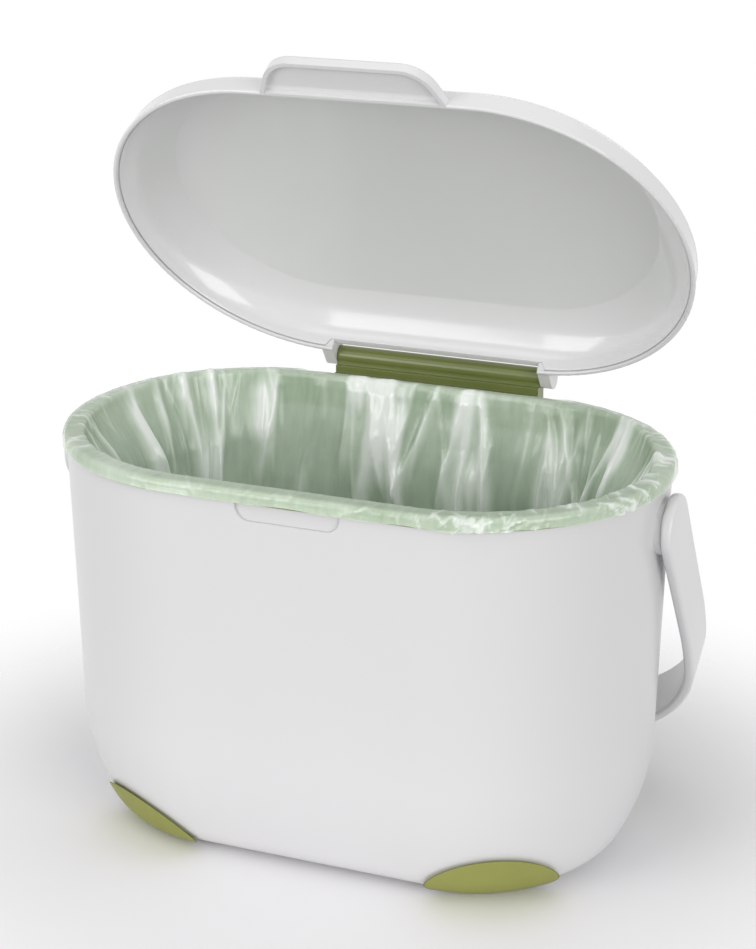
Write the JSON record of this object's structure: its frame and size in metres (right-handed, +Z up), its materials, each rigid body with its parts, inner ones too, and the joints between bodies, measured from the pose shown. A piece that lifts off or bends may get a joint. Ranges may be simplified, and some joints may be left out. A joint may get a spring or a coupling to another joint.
{
  "type": "compost caddy",
  "caption": "Oval kitchen compost bucket with soft corner feet, a lift-out ring that holds the bag, a domed hinged lid with a finger tab and a swinging bail handle.",
  "frame": {"origin": "middle of the flat underside of the bucket, 1.5 mm above the surface its feet stand on", "axes": "+X to the right along the long side, +Y to the back where the hinge is, +Z up"},
  "size_m": [0.2564, 0.172, 0.3145],
  "materials": {
    "white_plastic": "smooth moulded white plastic, satin gloss",
    "lid_plastic": "smooth moulded white plastic, glossy",
    "handle_plastic": "smooth moulded white plastic, satin gloss",
    "green_plastic": "smooth moulded olive green plastic",
    "soft_foot": "soft olive green rubber, matt",
    "bag_film": "thin pale green compostable film, translucent"
  },
  "bodies": {
    "bucket_body": {"bucket": "white_plastic", "foot_front_left": "soft_foot", "foot_front_right": "soft_foot", "foot_rear_left": "soft_foot", "foot_rear_right": "soft_foot"},
    "ring_body": {"bag_ring": "green_plastic", "liner_bag": "bag_film"},
    "lid_body": {"lid": "lid_plastic"},
    "handle_body": {"carry_handle": "handle_plastic"}
  },
  "joints": [
    {"name": "ring_lift", "type": "slide", "parent": "bucket_body", "child": "ring_body", "axis": [0, 0, 1], "range_m": [0, 0.06]},
    {"name": "lid_hinge", "type": "hinge", "parent": "ring_body", "child": "lid_body", "pos_m": [0, 0.08395, 0.1689], "axis": [-1, 0, 0], "range_deg": [-55, 40]},
    {"name": "handle_swing", "type": "hinge", "parent": "bucket_body", "child": "handle_body", "pos_m": [0, 0, 0.1428], "axis": [1, 0, 0], "range_deg": [0, 80]}
  ]
}
